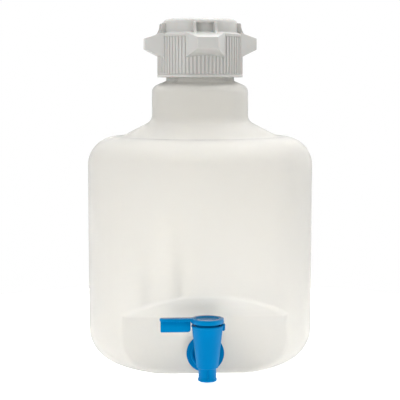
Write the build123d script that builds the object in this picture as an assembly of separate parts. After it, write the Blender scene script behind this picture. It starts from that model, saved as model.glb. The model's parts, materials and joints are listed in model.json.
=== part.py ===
"""Ten-litre detergent dispenser bottle: a blow-moulded bottle with a recessed foot for its tap,
a lugged screw closure in three pieces, and a quarter-turn plug tap.

Frame: origin at the centre of the base on the bottle's axis, +Z up, the tap at the front (-Y).
All sizes are in millimetres.
"""

import os

from build123d import *
from math import asin, cos, degrees, radians, sin, sqrt, tan

# ---------------------------------------------------------------- driving sizes: bottle
body_radius = 125.0
wall = 2.8
base_corner_radius = 36.0
foot_ring_width = 15.0
base_push_up = 5.0
shoulder_height = 249.4
shoulder_corner_radius = 32.0
shoulder_blend_radius = 26.0
shoulder_cone_width = 33.0
shoulder_cone_rise = 18.5
shoulder_lift = 1.5
grip_radius = 53.5
grip_height = 37.2
grip_edge_radius = 9.0
grip_foot_radius = 10.0
grip_top_rise = 6.9
neck_radius = 37.7
neck_height = 41.3

# recess in the front of the bottle that the tap stands in
recess_depth = 37.0
recess_height = 62.0
recess_ceiling_angle = 37.6
recess_edge_radius = 8.0

# ---------------------------------------------------------------- driving sizes: screw closure
thread_pitch = 6.0
thread_turns = 1.25
thread_depth = 2.7
thread_root_width = 2.8
thread_crest_width = 1.4
thread_clearance = 0.7
thread_flank_gap = 0.4
thread_top_margin = 7.0
skirt_gap = 3.7
skirt_wall = 5.0
rib_count = 72
rib_depth = 1.4
rib_foot_share = 0.7
rib_crest_share = 0.4
band_proud = 0.2
rib_bottom_band = 3.1
rib_top_band = 2.7
gasket_thickness = 2.5
insert_flange = 3.0
insert_spigot_wall = 2.5
insert_spigot_depth = 9.0
insert_dome_rise = 2.0
insert_plate = 2.6
closure_clearance = 0.4
crown_over_bore = 0.3
crown_wall = 6.2
crown_height = 14.8
crown_edge_radius = 5.4
crown_recess_depth = 3.0
crown_recess_top = 4.8
deck_slope_angle = 17.2
deck_above_step = 6.1
lug_count = 4
lug_turn = 4.2
lug_reach = 14.5
lug_end_width = 22.4
lug_flare_angle = 28.0
lug_end_height = 12.2
lug_under_drop = 8.2
lug_corner_radius = 2.2
fin_offset = 11.4
fin_thickness = 3.0
fin_height = 10.2
fin_width = 4.2
fin_foot_width = 9.8

# ---------------------------------------------------------------- driving sizes: tap
tap_inlet_height = 24.2
tap_reach = 37.0
flange_radius = 20.0
flange_thickness = 3.5
flange_ring_radius = 14.6
flange_ring_height = 1.6
seal_thickness = 2.0
seal_rim = 3.0
shank_radius = 11.8
shank_thread_pitch = 2.5
shank_thread_depth = 1.0
shank_thread_margin = 1.5
shank_clearance = 0.3
inlet_bore_radius = 5.2
tap_neck_radius = 9.6
cone_top_radius = 16.3
cone_bottom_radius = 11.2
cone_above_inlet = 37.1
cone_below_inlet = 7.2
tap_wall = 2.5
rim_bead = 0.2
rim_bead_height = 2.2
nozzle_radius = 9.2
nozzle_length = 14.2
nozzle_bore_radius = 6.2
nozzle_bead = 0.6
nozzle_bead_height = 2.4
plug_clearance = 0.12
plug_wall = 2.4
plug_top_wall = 3.0
stem_radius = 12.2
o_ring_section = 1.9
o_ring_drop = 9.0
hub_gap = 2.3
hub_radius = 17.2
hub_thickness = 4.8
hub_recess_radius = 12.4
hub_recess_depth = 1.4
hub_edge_radius = 0.8
lever_length = 49.3
lever_width = 10.0
lever_root_width = 16.0
lever_plate = 2.9
lever_web = 2.8
lever_web_height = 11.6
lever_web_inset = 0.9
lever_web_gap = 1.2
lever_web_corner = 3.2
lever_end_corner = 0.9
stop_width = 5.6
stop_reach = 2.4
stop_height = 6.2
stop_above_rim = 1.2
stop_tab_width = 3.0
stop_clearance = 0.3
lever_travel = 90.0
nut_rim = 3.7
nut_thickness = 8.0
nut_turns = 2.2
washer_rim = 3.4
shank_past_nut = 2.5

# ---------------------------------------------------------------- places worked out from the sizes
neck_bottom = shoulder_height + shoulder_cone_rise + grip_height + grip_top_rise
lip_height = neck_bottom + neck_height
neck_bore_radius = neck_radius - wall
flat_y = -(body_radius - recess_depth)

thread_crest_radius = neck_radius + thread_depth
thread_start = lip_height - thread_top_margin - thread_pitch * thread_turns
ring_bore_radius = thread_crest_radius + thread_clearance
ring_thread_crest_radius = ring_bore_radius - thread_depth
crown_radius = ring_bore_radius + crown_over_bore
skirt_core_radius = ring_bore_radius + skirt_wall
skirt_radius = skirt_core_radius + rib_depth
skirt_bottom = neck_bottom + skirt_gap
insert_bottom = lip_height + gasket_thickness
step_height = insert_bottom + insert_flange
deck_height = step_height + deck_above_step
crown_top = deck_height + crown_height
crown_bore_radius = crown_radius - crown_wall
insert_flange_radius = ring_thread_crest_radius - closure_clearance
insert_spigot_radius = neck_bore_radius - closure_clearance
deck_slope = tan(radians(deck_slope_angle))
lug_radius = skirt_radius + lug_reach

seal_radius = shank_radius + seal_rim
washer_radius = shank_radius + washer_rim
nut_across_flats = 2 * (shank_radius + nut_rim)
flange_back_y = flat_y - seal_thickness
flange_face_y = flange_back_y - flange_thickness
plug_axis_y = flat_y - tap_reach
rim_height = tap_inlet_height + cone_above_inlet
cone_foot = tap_inlet_height - cone_below_inlet
nozzle_tip = cone_foot - nozzle_length
cone_slope = (cone_top_radius - cone_bottom_radius) / (rim_height - cone_foot)
hub_bottom = rim_height + hub_gap
hub_top = hub_bottom + hub_thickness
nut_y = flat_y + wall + seal_thickness
shank_end_y = nut_y + nut_thickness + shank_past_nut
shank_thread_start = flat_y + wall + shank_thread_margin


def deck_at(radius):
    """Height of the collar's sloping deck at a radius."""
    return deck_height - (radius - crown_radius) * deck_slope


def seat_radius(z):
    """Radius of the tap's tapered seat at height z."""
    return cone_bottom_radius + (z - cone_foot) * cone_slope - tap_wall


def revolved(outline):
    """Solid of revolution about Z from a closed outline drawn in X (radius) and Z."""
    face = Plane.XZ * make_face(outline)
    return revolve(face, Axis.Z)


def tube(outer, inner, bottom, top):
    """Upright tube on the Z axis."""
    height = top - bottom
    ring = Cylinder(outer, height, align=(Align.CENTER, Align.CENTER, Align.MIN))
    ring -= Cylinder(inner, height, align=(Align.CENTER, Align.CENTER, Align.MIN))
    return Pos(0, 0, bottom) * ring


def rod_y(radius, y_from, y_to, z):
    """Cylinder along Y between two Y places, at height z on the plane X = 0."""
    length = y_to - y_from
    return Pos(0, (y_from + y_to) / 2, z) * Rot(90, 0, 0) * Cylinder(radius, length)


def helical_ridge(base_radius, tip_radius, base_width, tip_width, pitch, turns, start):
    """Right-hand thread ridge about Z. Its middle starts at height start on the +X side."""
    path = Helix(pitch, pitch * turns, base_radius)
    section = Plane(origin=path @ 0, x_dir=(1, 0, 0), z_dir=path % 0)
    reach = tip_radius - base_radius
    outline = Polyline(
        (0, -base_width / 2), (reach, -tip_width / 2), (reach, tip_width / 2), (0, base_width / 2), close=True
    )
    ridge = sweep(section * make_face(outline), path=path, is_frenet=True)
    return Pos(0, 0, start) * ridge


# ---------------------------------------------------------------- bottle
def bottle_section():
    """Closed outline of the whole bottle in X and Z, both sides of the axis, with its rounded corners."""
    cone_foot_radius = grip_radius + shoulder_cone_width
    push_up_radius = body_radius - base_corner_radius - foot_ring_width
    half = [
        (push_up_radius, 0),
        (body_radius, 0),
        (body_radius, shoulder_height),
        (cone_foot_radius, shoulder_height + shoulder_lift),
        (grip_radius, shoulder_height + shoulder_cone_rise),
        (grip_radius, shoulder_height + shoulder_cone_rise + grip_height),
        (neck_radius, neck_bottom),
        (neck_radius, lip_height),
    ]
    mirrored = [(-x, z) for x, z in reversed(half)]
    sides = Polyline(*half, *mirrored)
    under = ThreePointArc(mirrored[-1], (0, base_push_up), half[0])
    face = make_face(sides + under)
    rounds = {
        (body_radius, 0): base_corner_radius,
        (body_radius, shoulder_height): shoulder_corner_radius,
        half[3]: shoulder_blend_radius,
        half[4]: grip_foot_radius,
        half[5]: grip_edge_radius,
    }
    for (x, z), radius in rounds.items():
        for side in (-1, 1):
            corner = face.vertices().sort_by_distance((side * x, z))[0]
            face = fillet(corner, radius)
    return face


def recess_outline(inset):
    """Outline in Y and Z of what the tap recess takes away, grown by inset into the bottle."""
    angle = radians(recess_ceiling_angle)
    front = -(body_radius + 60)
    back = flat_y + inset
    top_back = recess_height + inset * (1 - sin(angle)) / cos(angle)
    top_front = top_back + (back - front) * tan(angle)
    return Polyline((back, -20), (back, top_back), (front, top_front), (front, -20), close=True)


def recess_cutter(inset):
    """Prism that takes the tap recess out of the bottle."""
    face = Plane.YZ * make_face(recess_outline(inset))
    return extrude(face, body_radius * 1.2, both=True)


def half_of(face):
    """The part of a symmetric face on the +X side of the axis."""
    keep = Pos(body_radius, lip_height / 2) * Rectangle(2 * body_radius, 3 * lip_height)
    return face & keep


def bottle_body():
    """Blow-moulded bottle: round body, recessed flat for the tap, grip drum and threaded neck."""
    section = bottle_section()
    outer = revolve(Plane.XZ * half_of(section), Axis.Z)
    inside = offset(section, -wall)
    hollow = revolve(Plane.XZ * half_of(inside), Axis.Z)
    outer = rounded_recess(outer - recess_cutter(0))
    hollow = hollow - recess_cutter(wall)
    bottle = outer - hollow
    bore = Cylinder(neck_bore_radius, neck_height + 3 * wall, align=(Align.CENTER, Align.CENTER, Align.MIN))
    bottle -= Pos(0, 0, neck_bottom - wall) * bore
    bottle -= rod_y(shank_radius + shank_clearance, flat_y - wall, flat_y + 2 * wall, tap_inlet_height)
    return bottle + neck_thread()


def rounded_recess(solid):
    """Rounds the recess's outer edges; the line where its ceiling meets the flat stays crisp."""
    rise = recess_height + recess_depth * tan(radians(recess_ceiling_angle)) + 1
    edges = [
        e
        for e in solid.edges()
        if e.center().Y < flat_y + 0.01 and -1 < e.center().Z < rise
        if e.geom_type != GeomType.LINE or abs(e.center().Z - recess_height) > 0.5
    ]
    return fillet(edges, recess_edge_radius)


def neck_thread():
    """Thread on the outside of the neck."""
    sunk = 0.4
    return helical_ridge(
        neck_radius - sunk,
        thread_crest_radius,
        thread_root_width,
        thread_crest_width,
        thread_pitch,
        thread_turns,
        thread_start,
    )


# ---------------------------------------------------------------- screw closure
def rib_crown():
    """Toothed ring outline of the skirt, one tooth for each rib."""
    pitch = 360 / rib_count
    points = []
    for i in range(rib_count):
        for radius, share in (
            (skirt_core_radius, -rib_foot_share),
            (skirt_radius - band_proud, -rib_crest_share),
            (skirt_radius - band_proud, rib_crest_share),
            (skirt_core_radius, rib_foot_share),
        ):
            angle = radians(pitch * (i + share / 2))
            points.append((radius * cos(angle), radius * sin(angle)))
    outline = make_face(Polyline(*points, close=True))
    height = deck_at(skirt_radius) - rib_top_band - skirt_bottom - rib_bottom_band
    ring = extrude(outline, height + 0.2)
    bore = Cylinder(skirt_core_radius - 1, height + 2, align=(Align.CENTER, Align.CENTER, Align.MIN))
    return Pos(0, 0, skirt_bottom + rib_bottom_band - 0.1) * (ring - Pos(0, 0, -1) * bore)


def lug():
    """One wrench lug, pointing along +X, flaring until its cheeks run into the skirt."""
    inner = ring_bore_radius - 1
    half_end = lug_end_width / 2
    flare = (lug_radius - inner) * tan(radians(lug_flare_angle))
    plan = make_face(
        Polyline(
            (inner, -half_end - flare),
            (lug_radius, -half_end),
            (lug_radius, half_end),
            (inner, half_end + flare),
            close=True,
        )
    )
    prism = Pos(0, 0, skirt_bottom) * extrude(plan, crown_top - skirt_bottom)
    vertical = prism.edges().filter_by(Axis.Z).group_by(Axis.X)[-1]
    prism = fillet(vertical, lug_corner_radius)
    end_top = deck_at(lug_radius)
    end_bottom = end_top - lug_end_height
    root_bottom = end_bottom - lug_under_drop
    outline = Polyline(
        (inner, root_bottom),
        (inner, deck_at(inner)),
        (lug_radius, end_top),
        (lug_radius, end_bottom),
        close=True,
    )
    side = Plane.XZ * make_face(outline)
    solid = prism & extrude(side, skirt_radius, both=True)
    bore = Cylinder(ring_bore_radius, step_height, align=(Align.CENTER, Align.CENTER, Align.MIN))
    return solid - bore


def fin_pair():
    """The two upright fins over one lug, pointing along +X."""
    inner = crown_bore_radius + crown_wall / 3
    face_x = sqrt(crown_radius**2 - fin_offset**2)
    tip = face_x + fin_width
    foot = face_x + fin_foot_width
    curve_start = deck_at(foot) + fin_foot_width * 0.7
    top = deck_height + fin_height
    low = deck_at(foot) - 1
    outline = Polyline(
        (foot, low),
        (inner, low),
        (inner, top),
        (tip - 1, top),
        (tip, top - 1),
        (tip, curve_start),
    )
    sweep_out = ThreePointArc(
        (tip, curve_start),
        (tip + (foot - tip) * 0.3, curve_start - (curve_start - deck_at(foot)) * 0.72),
        (foot, deck_at(foot)),
    )
    close = Line((foot, deck_at(foot)), (foot, low))
    side = Plane.XZ * make_face(outline + sweep_out + close)
    blade = extrude(side, fin_thickness / 2, both=True)
    return Pos(0, fin_offset, 0) * blade + Pos(0, -fin_offset, 0) * blade


def crown_recess():
    """What is taken from the crown's outside between the two fins of one lug."""
    width = 2 * fin_offset - fin_thickness
    bottom = deck_height + 0.4
    top = crown_top - crown_recess_top
    block = Pos(crown_radius, 0, (bottom + top) / 2) * Box(2 * crown_recess_depth + 4, width, top - bottom)
    return block - Pos(0, 0, top) * Cylinder(crown_radius - crown_recess_depth, 3 * crown_height)


def cap_collar():
    """Ribbed screw ring with four lugs, its inside thread and an open crown."""
    rib_top = deck_at(skirt_radius) - rib_top_band
    rib_low = skirt_bottom + rib_bottom_band
    outline = Polyline(
        (ring_bore_radius, skirt_bottom),
        (skirt_radius, skirt_bottom),
        (skirt_radius, rib_low),
        (skirt_core_radius, rib_low),
        (skirt_core_radius, rib_top),
        (skirt_radius, rib_top),
        (skirt_radius, deck_at(skirt_radius)),
        (crown_radius, deck_height),
        (crown_radius, crown_top),
        (crown_bore_radius, crown_top),
        (crown_bore_radius, step_height),
        (ring_bore_radius, step_height),
        close=True,
    )
    face = make_face(outline)
    corner = face.vertices().sort_by_distance((crown_radius, crown_top))[0]
    face = fillet(corner, crown_edge_radius)
    ring = revolve(Plane.XZ * face, Axis.Z)
    ring += rib_crown()
    lugs = lug()
    fins = fin_pair()
    recess = crown_recess()
    turn = 360 / lug_count
    places = [Rot(0, 0, lug_turn - 90 + i * turn) for i in range(lug_count)]
    for place in places:
        ring = ring + place * lugs
    for place in places:
        ring = ring - place * recess
        ring = ring + place * fins
    return ring + ring_thread()


def ring_thread():
    """Thread inside the collar, following the neck's thread with the flank gap under it."""
    sunk = 0.4
    span = ring_bore_radius - neck_radius
    halves = thread_root_width - (thread_root_width - thread_crest_width) / 2 * span / thread_depth
    drop = halves + thread_flank_gap
    return helical_ridge(
        ring_bore_radius + sunk,
        ring_thread_crest_radius,
        thread_root_width,
        thread_crest_width,
        thread_pitch,
        thread_turns,
        thread_start - drop,
    )


def cap_insert():
    """Closed disc of the screw closure, with a spigot that centres it in the mouth."""
    spigot_bottom = lip_height - insert_spigot_depth
    spigot_bore = insert_spigot_radius - insert_spigot_wall
    under = insert_bottom
    top = step_height
    well = crown_bore_radius - closure_clearance - insert_plate
    outside = Polyline(
        (0, under + insert_dome_rise),
        (spigot_bore * 0.5, under + insert_dome_rise),
        (spigot_bore, under),
        (spigot_bore, spigot_bottom),
        (insert_spigot_radius, spigot_bottom),
        (insert_spigot_radius, under),
        (insert_flange_radius, under),
        (insert_flange_radius, top),
        (well, top),
        (spigot_bore * 0.5, top + insert_dome_rise - 0.4),
        (0, top + insert_dome_rise - 0.4),
        close=True,
    )
    return revolved(outside)


def cap_gasket():
    """Soft ring between the mouth's lip and the disc."""
    outer = insert_flange_radius - closure_clearance
    inner = insert_spigot_radius + closure_clearance / 2
    return tube(outer, inner, lip_height, insert_bottom)


# ---------------------------------------------------------------- tap
def upright(shape):
    """Moves a shape built about Z to the tap's axis."""
    return Pos(0, plug_axis_y, 0) * shape


def tap_body():
    """Tap moulding: flange, threaded shank, tapered seat and outlet nozzle."""
    barrel = revolved(
        Polyline(
            (0, nozzle_tip),
            (nozzle_radius + nozzle_bead - 0.6, nozzle_tip),
            (nozzle_radius + nozzle_bead, nozzle_tip + 0.6),
            (nozzle_radius + nozzle_bead, nozzle_tip + nozzle_bead_height),
            (nozzle_radius, nozzle_tip + nozzle_bead_height + 0.6),
            (nozzle_radius, cone_foot - 0.8),
            (cone_bottom_radius, cone_foot),
            (cone_top_radius, rim_height - rim_bead_height),
            (cone_top_radius + rim_bead, rim_height - rim_bead_height),
            (cone_top_radius + rim_bead, rim_height),
            (0, rim_height),
            close=True,
        )
    )
    body = upright(barrel)
    body += upright(stop_block())
    body += rod_y(tap_neck_radius, plug_axis_y, flange_face_y + 1, tap_inlet_height)
    body += rod_y(flange_radius, flange_face_y, flange_back_y, tap_inlet_height)
    ring = rod_y(flange_ring_radius, flange_face_y - flange_ring_height, flange_face_y + 1, tap_inlet_height)
    body += ring - rod_y(flange_ring_radius - 1.8, flange_face_y - 9, flange_face_y + 1, tap_inlet_height)
    core = shank_radius - shank_thread_depth
    body += rod_y(core, flange_back_y - 1, shank_end_y, tap_inlet_height)
    turns = (shank_end_y - shank_thread_start - shank_thread_margin) / shank_thread_pitch
    body += shank_ridge(core - 0.3, shank_radius, shank_thread_start, turns)
    seat = revolved(
        Polyline(
            (0, cone_foot),
            (seat_radius(cone_foot), cone_foot),
            (seat_radius(rim_height), rim_height + 0.01),
            (0, rim_height + 0.01),
            close=True,
        )
    )
    outlet_height = cone_foot - nozzle_tip + 2
    outlet = Cylinder(nozzle_bore_radius, outlet_height, align=(Align.CENTER, Align.CENTER, Align.MIN))
    body -= upright(seat)
    body -= upright(Pos(0, 0, nozzle_tip - 1) * outlet)
    body -= rod_y(inlet_bore_radius, plug_axis_y, shank_end_y + 1, tap_inlet_height)
    return body


def stop_block():
    """Fixed stop on the rim, on the +X side."""
    inner = stem_radius + stop_clearance + 0.3
    outer = cone_top_radius + stop_reach
    bottom = rim_height - stop_height
    top = rim_height + stop_above_rim
    block = Pos((inner + outer) / 2, 0, (bottom + top) / 2) * Box(outer - inner, stop_width, top - bottom)
    return block & Pos(0, 0, (bottom + top) / 2) * Cylinder(outer - 0.2, top - bottom)


def shank_ridge(base_radius, tip_radius, start_y, turns):
    """Right-hand thread ridge about the tap's inlet axis, running into the bottle."""
    ridge = helical_ridge(base_radius, tip_radius, 1.5, 0.6, shank_thread_pitch, turns, 0)
    return Pos(0, start_y, tap_inlet_height) * Rot(-90, 0, 0) * ridge


def tap_plug():
    """Turning plug with its hub and lever, one moulding. Closed: lever to -X, port to +X."""
    low = cone_foot + plug_clearance
    top = rim_height - 1.0
    gap = plug_clearance
    body = revolved(
        Polyline(
            (0, low),
            (seat_radius(low) - gap, low),
            (seat_radius(top) - gap, top),
            (stem_radius, top),
            (stem_radius, hub_bottom + 0.5),
            (0, hub_bottom + 0.5),
            close=True,
        )
    )
    hub = revolved(
        Polyline(
            (0, hub_bottom),
            (hub_radius, hub_bottom),
            (hub_radius, hub_top - hub_edge_radius),
            (hub_radius - hub_edge_radius, hub_top),
            (hub_recess_radius, hub_top),
            (hub_recess_radius - 0.4, hub_top - hub_recess_depth),
            (0, hub_top - hub_recess_depth),
            close=True,
        )
    )
    body += hub + lever() + hub_stops()
    hollow_top = rim_height - plug_top_wall
    hollow = revolved(
        Polyline(
            (0, low - 1),
            (seat_radius(low) - gap - plug_wall, low - 1),
            (seat_radius(hollow_top) - gap - plug_wall, hollow_top),
            (0, hollow_top),
            close=True,
        )
    )
    body -= hollow
    port = Rot(0, 90, 0) * Cylinder(inlet_bore_radius, cone_top_radius)
    port = Pos(cone_top_radius / 2, 0, tap_inlet_height) * port
    body -= port
    groove_middle = rim_height - o_ring_drop
    half_groove = o_ring_section * 0.65
    groove_bottom = groove_middle - half_groove
    groove = tube(cone_top_radius + 1, o_ring_inner(), groove_bottom, groove_middle + half_groove)
    return upright(body - groove)


def o_ring_inner():
    """Radius of the bottom of the plug's ring groove."""
    return seat_radius(rim_height - o_ring_drop) - 0.9 * o_ring_section


def lever():
    """T-shaped lever along -X."""
    plate_top = hub_top + 0.3
    plate_bottom = plate_top - lever_plate
    end = lever_length - lever_width / 2
    plan = make_face(
        Polyline(
            (0, -lever_root_width / 2),
            (0, lever_root_width / 2),
            (-hub_radius, lever_width / 2),
            (-end, lever_width / 2),
        )
        + ThreePointArc((-end, lever_width / 2), (-lever_length, 0), (-end, -lever_width / 2))
        + Polyline((-end, -lever_width / 2), (-hub_radius, -lever_width / 2), (0, -lever_root_width / 2))
    )
    plate = Pos(0, 0, plate_bottom) * extrude(plan, lever_plate)
    plate -= Pos(0, 0, plate_bottom) * Cylinder(hub_recess_radius + 1, 10)
    x_in = -(cone_top_radius + rim_bead + lever_web_gap)
    x_out = -(lever_length - lever_web_inset)
    low = plate_top - lever_plate - lever_web_height
    web_side = Plane.XZ * make_face(
        Polyline(
            (x_in, plate_bottom + 0.5),
            (x_in, low),
            (x_out, low),
            (x_out, plate_bottom + 0.5),
            close=True,
        )
    )
    web = extrude(web_side, lever_web / 2, both=True)
    end, root = web.edges().filter_by(Axis.Y).group_by(Axis.Z)[0].sort_by(Axis.X)
    web = fillet(root, lever_web_corner)
    end = web.edges().filter_by(Axis.Y).sort_by_distance((x_out, 0, low))[0]
    web = fillet(end, lever_end_corner)
    return plate + web


def hub_stops():
    """Two small blocks under the hub that meet the fixed stop at the ends of the travel."""
    inner = stem_radius - 0.5
    outer = hub_radius - 0.5
    radius = stem_radius + stop_clearance + 0.3
    apart = (stop_width + stop_tab_width) / 2 + stop_clearance
    angle = degrees(asin(apart / radius))
    height = hub_gap - stop_clearance
    place = Pos((inner + outer) / 2, 0, hub_bottom - height / 2 + 0.1)
    block = place * Box(outer - inner, stop_tab_width, height + 0.2)
    return Rot(0, 0, angle) * block + Rot(0, 0, -lever_travel - angle) * block


def tap_o_ring():
    """Ring seal round the plug, just clear of its groove and the seat."""
    outer = seat_radius(rim_height - o_ring_drop) - 0.05
    section = (outer - o_ring_inner() - 0.02) / 2
    centre = (outer + o_ring_inner() + 0.02) / 2
    ring = Torus(centre, section)
    return upright(Pos(0, 0, rim_height - o_ring_drop) * ring)


def tap_outer_seal():
    """Soft washer between the tap's flange and the bottle."""
    seal = rod_y(seal_radius, flange_back_y, flat_y, tap_inlet_height)
    return seal - rod_y(shank_radius + shank_clearance, flange_back_y - 1, flat_y + 1, tap_inlet_height)


def tap_inner_seal():
    """Soft washer between the bottle's inside wall and the nut."""
    seal = rod_y(washer_radius, flat_y + wall, nut_y, tap_inlet_height)
    return seal - rod_y(shank_radius + shank_clearance, flat_y, nut_y + 1, tap_inlet_height)


def tap_nut():
    """Hexagon nut on the shank inside the bottle."""
    hexagon = extrude(RegularPolygon(nut_across_flats / 2, 6, major_radius=False), nut_thickness)
    nut = Pos(0, nut_y, tap_inlet_height) * Rot(-90, 0, 0) * hexagon
    nut -= rod_y(shank_radius + shank_clearance, nut_y - 1, nut_y + nut_thickness + 1, tap_inlet_height)
    pitches_to_nut = int((nut_y + 1 - shank_thread_start) / shank_thread_pitch)
    begin = shank_thread_start + shank_thread_pitch * (pitches_to_nut + 0.5)
    root = shank_radius + shank_clearance + 0.3
    crest = shank_radius - shank_thread_depth + shank_clearance
    ridge = shank_ridge(root, crest, begin, nut_turns)
    return nut + ridge


PARTS = {
    "bottle_body": bottle_body,
    "cap_collar": cap_collar,
    "cap_insert": cap_insert,
    "cap_gasket": cap_gasket,
    "tap_body": tap_body,
    "tap_plug": tap_plug,
    "tap_o_ring": tap_o_ring,
    "tap_outer_seal": tap_outer_seal,
    "tap_inner_seal": tap_inner_seal,
    "tap_nut": tap_nut,
}

os.makedirs("parts", exist_ok=True)
for name, make in PARTS.items():
    export_step(make(), f"parts/{name}.step")
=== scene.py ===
"""Looks of the ten-litre dispenser bottle: milky bottle, white lugged closure and blue plug tap."""

import json

from math import asin, atan2, cos, pi, radians, sin, sqrt, tan

import bpy
from mathutils import Matrix, Vector


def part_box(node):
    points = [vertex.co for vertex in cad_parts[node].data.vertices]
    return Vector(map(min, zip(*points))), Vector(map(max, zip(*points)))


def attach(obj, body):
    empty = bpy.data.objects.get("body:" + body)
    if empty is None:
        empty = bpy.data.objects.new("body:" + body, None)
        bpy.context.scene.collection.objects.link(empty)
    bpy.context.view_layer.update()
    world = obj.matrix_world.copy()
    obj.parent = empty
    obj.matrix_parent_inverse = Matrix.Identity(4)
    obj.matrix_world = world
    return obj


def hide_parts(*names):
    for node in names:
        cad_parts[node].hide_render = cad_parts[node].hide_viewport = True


MM = 0.001
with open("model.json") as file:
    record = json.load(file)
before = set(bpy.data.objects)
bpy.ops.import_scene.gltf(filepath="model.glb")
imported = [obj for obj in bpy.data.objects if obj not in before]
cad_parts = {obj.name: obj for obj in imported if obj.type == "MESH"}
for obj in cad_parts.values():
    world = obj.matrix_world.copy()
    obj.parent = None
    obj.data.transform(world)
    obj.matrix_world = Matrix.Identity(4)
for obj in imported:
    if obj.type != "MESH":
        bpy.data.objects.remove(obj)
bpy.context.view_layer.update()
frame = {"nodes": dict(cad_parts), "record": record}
nodes = frame["nodes"]
record = frame["record"]

# ---------------------------------------------------------------- places taken from the frame
ring_low, ring_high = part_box("cap_collar")
tap_low, tap_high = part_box("tap_body")
seal_low, seal_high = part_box("tap_outer_seal")
plug_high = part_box("tap_plug")[1]
insert_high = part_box("cap_insert")[1]
outlet = next(m for m in record["mounts"] if m["name"] == "tap_outlet")
TAP_Y = outlet["pos_m"][1]
INLET_Z = (seal_low[2] + seal_high[2]) / 2

# ---------------------------------------------------------------- driving sizes, in millimetres
RIBS = 72
ROUND = RIBS * 4
skirt = 47.5
skirt_core = 46.5
skirt_bore = 41.1
bottom_band = 3.1
top_band = 2.7
crown = 41.4
crown_bore = 35.2
crown_height = 14.8
crown_round = 5.4
crown_recess = 2.2
disc_rise = 1.6
lugs = 4
lug_end = 22.4
lug_end_height = 12.2
lug_under_slope = 0.46
lug_flare_angle = 28.0
lug_turn = 4.2
lug_reach = 14.5
deck_angle = 17.2
fin_offset = 11.4
fin_half = 1.5
fin_height = 10.4
cone_top = 16.3
cone_bottom = 11.2
cone_height = 44.3
nozzle = 9.2
outlet_bore = 6.2
tap_wall = 2.5
flange = 20.0
seat_clearance = 0.12
port = 5.2
thread_pitch = 2.5
thread_turns = 4
thread_start = 84.4
hub = 17.2
hub_gap = 2.3
hub_thickness = 4.8
dish = 12.4
dish_depth = 1.4
stop_above_rim = 1.2
lever_length = 49.3
web_half = 1.4


# ---------------------------------------------------------------- modelling helpers
def deselect():
    """Leaves object mode with nothing selected."""
    if bpy.context.object and bpy.context.object.mode == "EDIT":
        bpy.ops.object.mode_set(mode="OBJECT")
    bpy.ops.object.select_all(action="DESELECT")


def activate(piece):
    """Makes one piece the only selected and active object."""
    deselect()
    piece.select_set(True)
    bpy.context.view_layer.objects.active = piece


def rounded(corners, steps=4):
    """Outline from (r, z, corner radius) points, each corner drawn as an arc of that radius."""
    out = []
    count = len(corners)
    for i, (r, z, radius) in enumerate(corners):
        here = Vector((r, z))
        if not radius:
            out.append((r, z))
            continue
        before = (Vector(corners[i - 1][:2]) - here).normalized()
        after = (Vector(corners[(i + 1) % count][:2]) - here).normalized()
        half = before.angle(after) / 2
        reach = radius / tan(half)
        middle = here + (before + after).normalized() * (radius / sin(half))
        first = (here + before * reach - middle).normalized()
        last = (here + after * reach - middle).normalized()
        for k in range(steps + 1):
            out.append(tuple(middle + first.slerp(last, k / steps) * radius))
    return out


def turned(name, outline, segments, axis_at=(0, 0)):
    """Turns a closed outline of (r, z) points, in mm, about an upright axis, ring by ring."""
    deselect()
    x, y = axis_at
    r0, z0 = outline[0]
    bpy.ops.mesh.primitive_circle_add(vertices=segments, radius=r0 * MM, location=(x, y, z0 * MM))
    piece = bpy.context.object
    piece.name = name
    bpy.ops.object.transform_apply(location=True, rotation=True, scale=True)
    bpy.ops.object.mode_set(mode="EDIT")
    bpy.ops.mesh.select_all(action="SELECT")
    for (ra, za), (rb, zb) in zip(outline, outline[1:]):
        bpy.ops.mesh.extrude_region_move(TRANSFORM_OT_translate={"value": (0, 0, (zb - za) * MM)})
        grow = rb / ra
        bpy.ops.transform.resize(value=(grow, grow, 1), center_override=(x, y, zb * MM))
    bpy.ops.mesh.select_all(action="DESELECT")
    bpy.ops.mesh.select_mode(type="EDGE")
    bpy.ops.object.mode_set(mode="OBJECT")
    select_rings(piece, (outline[0], outline[-1]), axis_at)
    bpy.ops.object.mode_set(mode="EDIT")
    bpy.ops.mesh.bridge_edge_loops()
    tidy()
    return piece


def select_rings(piece, rings, axis_at):
    """Selects the edges that lie on the given (r, z) rings."""
    mesh = piece.data
    x, y = axis_at

    def on_ring(index):
        co = mesh.vertices[index].co
        r = sqrt((co.x - x) ** 2 + (co.y - y) ** 2)
        return any(abs(r - a * MM) < 2e-6 and abs(co.z - b * MM) < 2e-6 for a, b in rings)

    marked = [on_ring(i) for i in range(len(mesh.vertices))]
    for edge in mesh.edges:
        a, b = edge.vertices
        level = abs(mesh.vertices[a].co.z - mesh.vertices[b].co.z) < 1e-6
        edge.select = marked[a] and marked[b] and level


def tidy():
    """Merges doubles, points every face outwards and leaves edit mode."""
    bpy.ops.mesh.select_mode(type="VERT")
    bpy.ops.mesh.select_all(action="SELECT")
    bpy.ops.mesh.remove_doubles(threshold=1e-6)
    bpy.ops.mesh.normals_make_consistent(inside=False)
    bpy.ops.mesh.select_all(action="DESELECT")
    bpy.ops.object.mode_set(mode="OBJECT")


def select_faces(piece, wanted):
    """Goes to face mode with just the faces selected whose centre and normal pass the test."""
    activate(piece)
    bpy.ops.object.mode_set(mode="EDIT")
    bpy.ops.mesh.select_mode(type="FACE")
    bpy.ops.mesh.select_all(action="DESELECT")
    bpy.ops.object.mode_set(mode="OBJECT")
    for face in piece.data.polygons:
        face.select = bool(wanted(face.center, face.normal))
    bpy.ops.object.mode_set(mode="EDIT")


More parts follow.
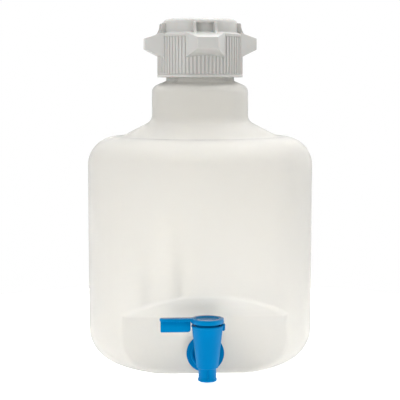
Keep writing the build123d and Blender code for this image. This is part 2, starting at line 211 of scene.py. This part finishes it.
def lofted(name, stations):
    """A bar along X made of upright rectangles: each station is (x, half width, low z, high z) in mm."""
    deselect()
    x, half, low, high = stations[0]
    bpy.ops.mesh.primitive_plane_add(size=1, location=(0, 0, 0), rotation=(0, pi / 2, 0))
    piece = bpy.context.object
    piece.name = name
    bpy.ops.object.transform_apply(location=True, rotation=True, scale=True)
    bpy.ops.object.mode_set(mode="EDIT")
    bpy.ops.mesh.select_all(action="SELECT")
    bpy.ops.transform.resize(value=(1, 2 * half * MM, (high - low) * MM), center_override=(0, 0, 0))
    bpy.ops.transform.translate(value=(x * MM, 0, (low + high) / 2 * MM))
    for before, after in zip(stations, stations[1:]):
        xa, wa, la, ha = before
        xb, wb, lb, hb = after
        step = (xb - xa, 0, (lb + hb - la - ha) / 2)
        bpy.ops.mesh.extrude_region_move(TRANSFORM_OT_translate={"value": [v * MM for v in step]})
        place = (xb * MM, 0, (lb + hb) / 2 * MM)
        bpy.ops.transform.resize(value=(1, wb / wa, (hb - lb) / (ha - la)), center_override=place)
    tidy()
    return piece


def use(piece, kind, **settings):
    """Adds a modifier with its settings and applies it."""
    activate(piece)
    step = piece.modifiers.new(kind.title(), kind)
    for key, value in settings.items():
        setattr(step, key, value)
    bpy.ops.object.modifier_apply(modifier=step.name)


def soften(piece, width, segments=2, angle=30):
    """Rounds every edge sharper than the angle by a width in mm."""
    use(
        piece,
        "BEVEL",
        width=width * MM,
        segments=segments,
        limit_method="ANGLE",
        angle_limit=radians(angle),
        use_clamp_overlap=True,
        miter_outer="MITER_ARC",
    )


def join(piece, other, operation="UNION"):
    """Unites another solid with the piece, or cuts it out, and removes the other."""
    use(piece, "BOOLEAN", operation=operation, object=other, solver="EXACT")
    bpy.data.objects.remove(other, do_unlink=True)


def shift(piece, x=0.0, y=0.0, z=0.0):
    """Moves a piece's mesh by distances in metres."""
    activate(piece)
    bpy.ops.object.mode_set(mode="EDIT")
    bpy.ops.mesh.select_all(action="SELECT")
    bpy.ops.transform.translate(value=(x, y, z))
    bpy.ops.object.mode_set(mode="OBJECT")


def drill(piece, radius, length, place, turn=(0, 0, 0), sides=48):
    """Cuts a round hole, its radius and length in mm, out of a piece."""
    deselect()
    bpy.ops.mesh.primitive_cylinder_add(
        vertices=sides, radius=radius * MM, depth=length * MM, location=place, rotation=turn
    )
    join(piece, bpy.context.object, "DIFFERENCE")


def merge(piece, *others):
    """Adds other closed shells, sunk into the piece, to its mesh."""
    activate(piece)
    for other in others:
        other.select_set(True)
    bpy.ops.object.join()


def copies_round(piece, count):
    """Copies of a piece turned evenly about the bottle's axis, joined to it as one mesh."""
    activate(piece)
    for i in range(1, count):
        other = piece.copy()
        other.data = piece.data.copy()
        bpy.context.collection.objects.link(other)
        other.data.transform(Matrix.Rotation(2 * pi * i / count, 4, "Z"))
        other.select_set(True)
    bpy.ops.object.join()


def smooth(piece, angle=35):
    """Smooth shading, broken only at edges sharper than the angle."""
    activate(piece)
    bpy.ops.object.shade_smooth_by_angle(angle=radians(angle))


# ---------------------------------------------------------------- materials
class Finish:
    """A node material being wired up: a Principled shader with patterns on Object coordinates."""

    def __init__(self, name, **sockets):
        self.material = bpy.data.materials.new(name)
        self.material.use_nodes = True
        self.tree = self.material.node_tree
        self.shader = self.tree.nodes["Principled BSDF"]
        for key, value in sockets.items():
            self.shader.inputs[key.replace("_", " ")].default_value = value
        self.place = self.tree.nodes.new("ShaderNodeTexCoord").outputs["Object"]
        self.height = None

    def node(self, kind, *links, **settings):
        """Adds a node, sets its values and links outputs into its named or numbered inputs."""
        made = self.tree.nodes.new(kind)
        for key, value in settings.items():
            setattr(made, key, value)
        for socket, source in links:
            if hasattr(source, "is_output"):
                self.tree.links.new(source, made.inputs[socket])
            else:
                made.inputs[socket].default_value = source
        return made

    def stretched(self, scale):
        """Object coordinates scaled along each axis."""
        return self.node("ShaderNodeMapping", ("Vector", self.place), ("Scale", scale)).outputs["Vector"]

    def noise(self, scale, detail=3.0, vector=None):
        """Smooth random pattern, about 0 to 1."""
        made = self.node(
            "ShaderNodeTexNoise", ("Vector", vector or self.place), ("Scale", scale), ("Detail", detail)
        )
        return made.outputs["Fac"]

    def between(self, value, low, high, out_low, out_high):
        """Maps a value from one range to another, clamped."""
        made = self.node(
            "ShaderNodeMapRange",
            ("Value", value),
            ("From Min", low),
            ("From Max", high),
            ("To Min", out_low),
            ("To Max", out_high),
        )
        return made.outputs["Result"]

    def mixed(self, share, first, second):
        """Colour between two colours."""
        made = self.node("ShaderNodeMix", data_type="RGBA")
        for socket, source in (("Factor", share), ("A", first), ("B", second)):
            target = next(s for s in made.inputs if s.name == socket and s.enabled)
            if hasattr(source, "is_output"):
                self.tree.links.new(source, target)
            else:
                target.default_value = source
        return next(s for s in made.outputs if s.enabled)

    def bump(self, height, distance, strength=1.0):
        """Adds relief under the shader, over any relief set before."""
        links = [("Height", height), ("Distance", distance), ("Strength", strength)]
        if self.height:
            links.append(("Normal", self.height))
        self.height = self.node("ShaderNodeBump", *links).outputs["Normal"]

    def set(self, socket, source):
        """Feeds a shader socket from a node."""
        self.tree.links.new(source, self.shader.inputs[socket])

    def done(self):
        """Finished material."""
        if self.height:
            self.tree.links.new(self.height, self.shader.inputs["Normal"])
        return self.material


def milky_plastic():
    """Natural polypropylene: milky and translucent, with blow-moulding streaks, a fine satin skin and
    painted shade towards the outline.
    """
    look = Finish(
        "milky polypropylene",
        IOR=1.49,
        Specular_IOR_Level=0.45,
        Transmission_Weight=0.7,
        Subsurface_Weight=0.3,
        Subsurface_Radius=(1.0, 0.95, 0.85),
        Subsurface_Scale=0.012,
    )
    streaks = look.noise(14.0, 3.0, look.stretched((1.0, 1.0, 0.08)))
    cloud = look.noise(9.0, 4.0)
    cream, grey_cream, pale, painted_edge_shade = (
        (0.86, 0.845, 0.805, 1),
        (0.842, 0.829, 0.793, 1),
        (0.865, 0.855, 0.83, 1),
        (0.735, 0.73, 0.712, 1),
    )
    tint = look.mixed(look.between(streaks, 0.35, 0.65, 0, 1), cream, grey_cream)
    tint = look.mixed(look.between(cloud, 0.3, 0.7, 0, 0.5), tint, pale)
    # Painted shade: the base colour turns grey where the surface faces away from the view, darkening the
    # bottle towards its outline.
    edge = look.node("ShaderNodeLayerWeight", ("Blend", 0.4)).outputs["Facing"]
    look.set("Base Color", look.mixed(look.between(edge, 0.45, 1.0, 0, 1), tint, painted_edge_shade))
    look.set("Roughness", look.between(cloud, 0.3, 0.7, 0.6, 0.7))
    look.bump(look.noise(900.0, 2.0), 0.00002, 0.5)
    look.bump(look.noise(16.0, 2.0, look.stretched((1.0, 1.0, 0.35))), 0.0006, 0.22)
    return look.done()


def moulded_plastic(name, colour, shade, roughness, shine=(1, 1, 1, 1), gloss=0.5):
    """Injection-moulded plastic: even colour with faint flow marks and a fine satin grain."""
    look = Finish(
        name,
        IOR=1.46,
        Specular_IOR_Level=gloss,
        Specular_Tint=shine,
        Subsurface_Weight=0.12,
        Subsurface_Scale=0.002,
    )
    flow = look.noise(38.0, 4.0, look.stretched((1.0, 1.0, 0.4)))
    look.set("Base Color", look.mixed(look.between(flow, 0.35, 0.65, 0, 1), colour, shade))
    look.set("Roughness", look.between(flow, 0.3, 0.7, roughness - 0.05, roughness + 0.07))
    look.bump(look.noise(1400.0, 2.0), 0.00003, 0.6)
    look.bump(look.noise(70.0, 2.0), 0.00025, 0.25)
    return look.done()


def soft_rubber(name, colour, shade, roughness):
    """Soft moulded rubber or silicone, dull, with a faint mottle."""
    look = Finish(name, IOR=1.41, Specular_IOR_Level=0.3)
    mottle = look.noise(180.0, 3.0)
    look.set("Base Color", look.mixed(look.between(mottle, 0.35, 0.65, 0, 1), colour, shade))
    look.set("Roughness", look.between(mottle, 0.3, 0.7, roughness - 0.06, roughness + 0.06))
    look.bump(look.noise(2200.0, 2.0), 0.00002, 0.6)
    return look.done()


def paint(piece, material):
    """Gives a piece one material."""
    piece.data.materials.clear()
    piece.data.materials.append(material)


# ---------------------------------------------------------------- screw closure
def deck(radius):
    """Height of the closure's sloping deck at a radius, in mm."""
    top = ring_high[2] / MM - crown_height
    return top - (radius - crown) * tan(radians(deck_angle))


def screw_ring():
    """Ribbed skirt and crown of the closure in one turned body."""
    low, high = ring_low[2] / MM, ring_high[2] / MM
    step = insert_flange_top()
    rib_low, rib_top = low + bottom_band, deck(skirt) - top_band
    outline = rounded(
        [
            (skirt_bore, low, 0.5),
            (skirt, low, 0.8),
            (skirt, rib_low, 0),
            (skirt_core, rib_low + 0.5, 0),
            (skirt_core, rib_top - 0.5, 0),
            (skirt, rib_top, 0),
            (skirt, deck(skirt), 0.9),
            (crown, deck(crown), 0.7),
            (crown, high, crown_round),
            (crown_bore, high, 1.0),
            (crown_bore, step, 0.4),
            (skirt_bore, step, 0.8),
        ]
    )
    ring = turned("screw_ring", outline, ROUND)
    cut_ribs(ring, rib_low + 0.5, rib_top - 0.5)
    recess_crown(ring)
    return ring


def insert_flange_top():
    """Height of the top of the insert's flange, which the ring presses down on, in mm."""
    return insert_high[2] / MM - disc_rise


def cut_ribs(ring, low, high):
    """Draws two of every four faces round the skirt outwards into a rib."""

    def on_rib(centre, normal):
        radius = sqrt(centre.x**2 + centre.y**2) / MM
        if not (low < centre.z / MM < high and radius > skirt_core - 1 and abs(normal.z) < 0.3):
            return False
        return int((atan2(centre.y, centre.x) % (2 * pi)) / (2 * pi) * ROUND) % 4 < 2

    select_faces(ring, on_rib)
    depth = (skirt - skirt_core) * MM * 0.92
    bpy.ops.mesh.extrude_region_shrink_fatten(TRANSFORM_OT_shrink_fatten={"value": -depth})
    tidy()


def recess_crown(ring):
    """Sinks the crown's wall between the two fins of each lug."""
    half = asin((fin_offset - 1.2) / crown)
    high = ring_high[2] / MM - crown_round - 0.2
    foot = deck(crown) + 0.5

    def between_fins(centre, normal):
        radius = sqrt(centre.x**2 + centre.y**2) / MM
        side = (atan2(centre.y, centre.x) + pi / 4) % (pi / 2) - pi / 4
        upright = crown - 1 < radius < crown + 0.5 and abs(normal.z) < 0.3
        return upright and foot < centre.z / MM < high and abs(side) < half

    select_faces(ring, between_fins)
    bpy.ops.mesh.extrude_region_shrink_fatten(TRANSFORM_OT_shrink_fatten={"value": crown_recess * MM})
    tidy()


def lug_bar():
    """One wrench lug along +X: a bar that flares and deepens towards the skirt."""
    end = skirt + lug_reach
    flare = tan(radians(lug_flare_angle))
    stations = []
    for x, pinch in ((end, 0), (42.2, 0), (skirt_bore + 0.4, 3.5)):
        low = deck(end) - lug_end_height - (end - x) * lug_under_slope
        stations.append((x, lug_end / 2 + (end - x) * flare - pinch, low, deck(x)))
    bar = lofted("lug", stations)
    soften(bar, 1.5, 3, 40)
    return bar


def fin_pair():
    """The two upright fins over one lug, along +X."""
    face = sqrt(crown**2 - fin_offset**2)
    top = deck(crown) + fin_height
    inner = crown_bore + 3
    outline = [
        (face + 3.4, top),
        (face + 4.2, top - 1.2),
        (face + 4.4, deck(face) + 5.4),
        (face + 5.2, deck(face) + 2.6),
        (face + 7.0, deck(face + 7.0) + 1.2),
        (face + 9.9, deck(face + 9.9) - 0.2),
    ]
    pair = []
    for side in (-1, 1):
        stations = [(inner, fin_half, deck(face) - 2, top)]
        stations += [(x, fin_half, deck(x) - 2, z) for x, z in outline]
        fin = lofted("fin", stations)
        shift(fin, y=side * fin_offset * MM)
        soften(fin, 0.5, 2, 30)
        pair.append(fin)
    merge(*pair)
    return pair[0]


def closure(material):
    """The whole lugged closure ring, in place of the plain collar."""
    ring = screw_ring()
    soften(ring, 0.3, 2, 40)
    all_lugs = lug_bar()
    copies_round(all_lugs, lugs)
    all_fins = fin_pair()
    copies_round(all_fins, lugs)
    merge(ring, all_lugs, all_fins)
    ring.rotation_euler.z = radians(lug_turn)
    bpy.ops.object.transform_apply(location=True, rotation=True, scale=True)
    smooth(ring)
    paint(ring, material)
    return finished(ring, "closure_ring", "closure", "cap_collar")


def finished(piece, body, slot, *replaced):
    """Rides a piece on its body and hides the plain parts it stands in for."""
    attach(piece, body)
    if replaced:
        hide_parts(*replaced)
    return piece


# ---------------------------------------------------------------- tap
rim = tap_high[2] / MM - stop_above_rim
cone_foot = rim - cone_height
tip = tap_low[2] / MM
axis_y = TAP_Y / MM
flat_y = seal_high[1] / MM


def cone(z):
    """Outside radius of the tap's cone at a height, in mm."""
    return cone_bottom + (z - cone_foot) * (cone_top - cone_bottom) / (rim - cone_foot)


def along_y(piece):
    """Turns a piece made about Z onto the tap's inlet axis, its foot towards the bottle."""
    activate(piece)
    piece.rotation_euler = (radians(90), 0, 0)
    piece.location = (0, 0, INLET_Z)
    bpy.ops.object.transform_apply(location=True, rotation=True, scale=True)


def tap_barrel():
    """Cone with its seat, rim bead and outlet nozzle."""
    outline = rounded(
        [
            (outlet_bore, tip, 0.6),
            (nozzle + 0.6, tip, 0.9),
            (nozzle + 0.6, tip + 2.4, 0.6),
            (nozzle, tip + 3.2, 0.5),
            (nozzle, cone_foot - 0.8, 0.5),
            (cone(cone_foot), cone_foot, 0.5),
            (cone(rim - 2.2), rim - 2.2, 0.2),
            (cone_top + 0.2, rim - 2.0, 0.2),
            (cone_top + 0.2, rim, 0.5),
            (cone_top - tap_wall, rim, 0.4),
            (cone_bottom - tap_wall, cone_foot, 0.3),
            (outlet_bore, cone_foot - 1, 0.3),
        ],
        3,
    )
    return turned("tap_barrel", outline, 96, (0, TAP_Y))


def tap_flange():
    """Flange with its raised ring, the neck in front of it and the shank behind, made about Z."""
    front = -(flat_y - 2.0)
    shank_end = -tap_high[1] / MM
    outline = rounded(
        [
            (port, shank_end, 0.4),
            (10.6, shank_end, 0.6),
            (10.8, front, 0.2),
            (flange, front, 0.5),
            (flange, front + 3.5, 0.9),
            (15.6, front + 3.5, 0.5),
            (15.0, front + 5.1, 0.5),
            (13.0, front + 5.1, 0.5),
            (12.4, front + 3.5, 0.6),
            (10.2, front + 3.7, 1.6),
            (9.4, -axis_y - 6, 0),
            (port, -axis_y - 6, 0),
        ],
        3,
    )
    disc = turned("tap_flange", outline, 96)
    along_y(disc)
    return disc


def shank_thread():
    """Coarse thread on the shank inside the bottle: a wedge swept up a screw, made about Z."""
    deselect()
    bpy.ops.mesh.primitive_plane_add(size=1, location=(0, 0, 0), rotation=(pi / 2, 0, 0))
    ridge = bpy.context.object
    ridge.name = "tap_thread"
    bpy.ops.object.transform_apply(location=True, rotation=True, scale=True)
    bpy.ops.object.mode_set(mode="EDIT")
    bpy.ops.mesh.select_all(action="SELECT")
    bpy.ops.transform.resize(value=(1.4 * MM, 1, 1.6 * MM), center_override=(0, 0, 0))
    bpy.ops.mesh.select_all(action="DESELECT")
    bpy.ops.object.mode_set(mode="OBJECT")
    for vertex in ridge.data.vertices:
        vertex.select = vertex.co.x > 0
    bpy.ops.object.mode_set(mode="EDIT")
    bpy.ops.transform.resize(value=(1, 1, 0.45), center_override=(0, 0, 0))
    bpy.ops.mesh.select_all(action="SELECT")
    bpy.ops.transform.translate(value=(11.1 * MM, 0, 0))
    bpy.ops.object.mode_set(mode="OBJECT")
    use(
        ridge,
        "SCREW",
        axis="Z",
        angle=2 * pi,
        screw_offset=-thread_pitch * MM,
        iterations=thread_turns,
        steps=48,
        render_steps=48,
    )
    shift(ridge, z=thread_start * MM)
    close_ends(ridge)
    along_y(ridge)
    return ridge


def close_ends(piece):
    """Closes the two ends of a swept ridge and points its faces outwards."""
    activate(piece)
    bpy.ops.object.mode_set(mode="EDIT")
    bpy.ops.mesh.select_all(action="DESELECT")
    bpy.ops.mesh.select_mode(type="EDGE")
    bpy.ops.mesh.select_non_manifold()
    bpy.ops.mesh.edge_face_add()
    tidy()


def stop_block():
    """Fixed stop on the rim at +X, with soft corners."""
    top = rim + stop_above_rim
    stations = [
        (14.2, 2.8, rim - 5.0, top),
        (16.4, 2.8, rim - 6.2, top),
        (18.3, 2.4, rim - 5.2, top - 0.2),
    ]
    block = lofted("stop", stations)
    shift(block, y=TAP_Y)
    soften(block, 0.5, 2, 30)
    return block


def nozzle_rib():
    """Thin upright rib down the front of the nozzle."""
    low, high = tip + 3.0, cone_foot - 0.4
    rib = lofted("nozzle_rib", [(-0.5, 0.9, low, high), (0.5, 0.9, low, high)])
    shift(rib, y=TAP_Y - (nozzle - 0.2) * MM)
    soften(rib, 0.3, 2, 40)
    return rib


def tap_moulding(material):
    """Tap body: barrel, flange and shank, in place of the plain one."""
    tap = tap_barrel()
    join(tap, tap_flange())
    drill(tap, port, 20, (0, TAP_Y + 12 * MM, INLET_Z), (pi / 2, 0, 0))
    merge(tap, stop_block(), nozzle_rib(), shank_thread())
    smooth(tap)
    tap.name = "tap_moulding"
    paint(tap, material)
    return finished(tap, "bottle", "tap", "tap_body")


def lever_bar():
    """T-shaped lever along -X: a flat plate, cut out over the hub's dish, and an upright web."""
    top = plug_high[2] / MM - 0.05
    plate_low = top - 2.9
    body = [(8.0, 8.0), (0.0, 8.4), (-12.0, 7.4), (-17.5, 5.4), (-21.0, 5.0)]
    end = [(5.0, 5.0), (2.2, 4.3), (0.7, 3.0), (0.0, 1.4)]
    stations = body + [(-lever_length + back, half) for back, half in end]
    plate = lofted("plate", [(x, half, plate_low, top) for x, half in stations])
    soften(plate, 0.6, 2, 40)
    web_low = plate_low - 11.6
    web_top = plate_low + 1
    outer = -lever_length + 0.9
    root = [(-17.4, 8.7), (-17.7, 10.0), (-18.4, 11.0), (-20.0, 11.6)]
    stations = [(x, web_half, plate_low - drop, web_top) for x, drop in root]
    stations.append((outer + 0.8, web_half, web_low, web_top))
    stations.append((outer, web_half, web_low + 0.8, web_top))
    web = lofted("web", stations)
    soften(web, 0.45, 2, 30)
    drill(plate, dish + 0.6, 20, (0, 0, top * MM), sides=64)
    merge(plate, web)
    return plate


def lever(material):
    """Turning plug with its port, hub and lever, in place of the plain one."""
    hub_low = rim + hub_gap
    hub_high = hub_low + hub_thickness
    seat = cone_bottom - tap_wall - seat_clearance
    slope = (cone_top - cone_bottom) / (rim - cone_foot)
    outline = rounded(
        [
            (0.05, hub_high - dish_depth, 0),
            (11.6, hub_high - dish_depth, 0.5),
            (dish, hub_high, 0.4),
            (hub, hub_high, 0.8),
            (hub, hub_low, 0.6),
            (12.2, hub_low, 0.5),
            (12.2, rim - 1.0, 0.3),
            (seat + (rim - 1 - cone_foot) * slope, rim - 1.0, 0.3),
            (seat, cone_foot + 0.2, 0.2),
            (seat - 2.4, cone_foot + 0.2, 0.2),
            (seat - 2.4 + (rim - 4 - cone_foot) * slope, rim - 4, 1.0),
            (0.05, rim - 4, 0),
        ],
        3,
    )
    plug = turned("tap_lever", outline, 96, (0, TAP_Y))
    bar = lever_bar()
    shift(bar, y=TAP_Y)
    drill(plug, port, 16, (8.5 * MM, TAP_Y, INLET_Z), (0, pi / 2, 0))
    merge(plug, bar)
    smooth(plug)
    paint(plug, material)
    return finished(plug, "tap_handle", "tap_lever", "tap_plug")


# ---------------------------------------------------------------- bottle
def bottle_shell(material):
    """Blow-moulded shell: a merged and smoothed copy of the bottle's solid."""
    shell = nodes["bottle_body"].copy()
    shell.data = nodes["bottle_body"].data.copy()
    bpy.context.collection.objects.link(shell)
    shell.parent = None
    shell.matrix_world = Matrix.Identity(4)
    shell.name = "bottle_shell"
    activate(shell)
    bpy.ops.object.mode_set(mode="EDIT")
    bpy.ops.mesh.select_all(action="SELECT")
    bpy.ops.mesh.remove_doubles(threshold=1e-6)
    bpy.ops.object.mode_set(mode="OBJECT")
    smooth(shell, 30)
    paint(shell, material)
    return finished(shell, "bottle", "bottle", "bottle_body")


# ---------------------------------------------------------------- stage
def studio():
    """Pale glowing floor, soft white surroundings that are brighter behind, and three soft lamps."""
    deselect()
    bpy.ops.mesh.primitive_circle_add(vertices=128, radius=0.5, fill_type="NGON", location=(0, 0, -0.0005))
    floor = bpy.context.object
    floor.name = "floor"
    look = Finish("pale floor", Base_Color=(0.93, 0.93, 0.93, 1), Roughness=0.9, Specular_IOR_Level=0.1)
    look.shader.inputs["Emission Color"].default_value = (1, 1, 1, 1)
    look.shader.inputs["Emission Strength"].default_value = 0.8
    paint(floor, look.done())
    world = bpy.data.worlds.new("studio")
    bpy.context.scene.world = world
    world.use_nodes = True
    tree = world.node_tree
    back = tree.nodes["Background"]
    place = tree.nodes.new("ShaderNodeTexCoord")
    split = tree.nodes.new("ShaderNodeSeparateXYZ")
    tree.links.new(place.outputs["Generated"], split.inputs[0])
    ramp = tree.nodes.new("ShaderNodeMapRange")
    ramp.inputs["From Min"].default_value = -1
    ramp.inputs["From Max"].default_value = 0.8
    ramp.inputs["To Min"].default_value = 0.5
    ramp.inputs["To Max"].default_value = 1.1
    tree.links.new(split.outputs["Y"], ramp.inputs["Value"])
    tree.links.new(ramp.outputs["Result"], back.inputs["Strength"])
    backdrop = tree.nodes.new("ShaderNodeBackground")
    path = tree.nodes.new("ShaderNodeLightPath")
    mix = tree.nodes.new("ShaderNodeMixShader")
    tree.links.new(path.outputs["Is Camera Ray"], mix.inputs[0])
    tree.links.new(back.outputs[0], mix.inputs[1])
    tree.links.new(backdrop.outputs[0], mix.inputs[2])
    tree.links.new(mix.outputs[0], tree.nodes["World Output"].inputs["Surface"])
    back.inputs["Color"].default_value = (1, 1, 1, 1)
    backdrop.inputs["Color"].default_value = (1, 1, 1, 1)
    lamp("top lamp", (0.2, 0.2, 1.5), (0, 0, 0.2), 1.2, 18)
    lamp("left lamp", (-1.15, -1.05, 0.4), (0, 0, 0.2), 0.7, 8)
    lamp("right lamp", (1.3, -0.8, 0.35), (0, 0, 0.2), 0.7, 4.5)


def lamp(name, place, target, size, watts):
    """Soft square lamp aimed at a point."""
    deselect()
    bpy.ops.object.light_add(type="AREA", location=place)
    made = bpy.context.object
    made.name = name
    made.data.size = size
    made.data.energy = watts
    made.rotation_euler = (Vector(target) - Vector(place)).to_track_quat("-Z", "Y").to_euler()


def camera():
    """Camera just above the middle of the bottle, a little to its left, looking slightly down."""
    away, height = 1.386, 0.3129
    turn, tilt = radians(3.5), radians(5.5275)
    bpy.ops.object.camera_add(
        location=(-away * sin(turn), -away * cos(turn), height), rotation=(pi / 2 - tilt, 0, -turn)
    )
    made = bpy.context.object
    made.data.lens = 111.6
    bpy.context.scene.camera = made


milky = milky_plastic()
white = moulded_plastic("white polypropylene", (0.51, 0.505, 0.484, 1), (0.48, 0.476, 0.455, 1), 0.42)
blue_tint = (0.0, 0.5, 1.0, 1)
tap_blue, tap_shade = (0.0, 0.155, 0.375, 1), (0.0, 0.138, 0.34, 1)
lever_blue, lever_shade = (0.0, 0.15, 0.36, 1), (0.0, 0.133, 0.325, 1)
blue = moulded_plastic("blue polypropylene", tap_blue, tap_shade, 0.48, blue_tint, 0.15)
glossy_blue = moulded_plastic("glossy blue polypropylene", lever_blue, lever_shade, 0.14, blue_tint)
silicone = soft_rubber("pale silicone", (0.72, 0.71, 0.67, 1), (0.66, 0.65, 0.61, 1), 0.5)
rubber = soft_rubber("black rubber", (0.02, 0.02, 0.022, 1), (0.035, 0.035, 0.036, 1), 0.6)

bottle_shell(milky)
closure(white)
tap_moulding(blue)
lever(glossy_blue)
for node, material in {
    "cap_insert": white,
    "cap_gasket": silicone,
    "tap_outer_seal": silicone,
    "tap_inner_seal": silicone,
    "tap_o_ring": rubber,
    "tap_nut": blue,
}.items():
    paint(nodes[node], material)
studio()
camera()
scene = bpy.context.scene
scene.view_settings.view_transform = "Standard"
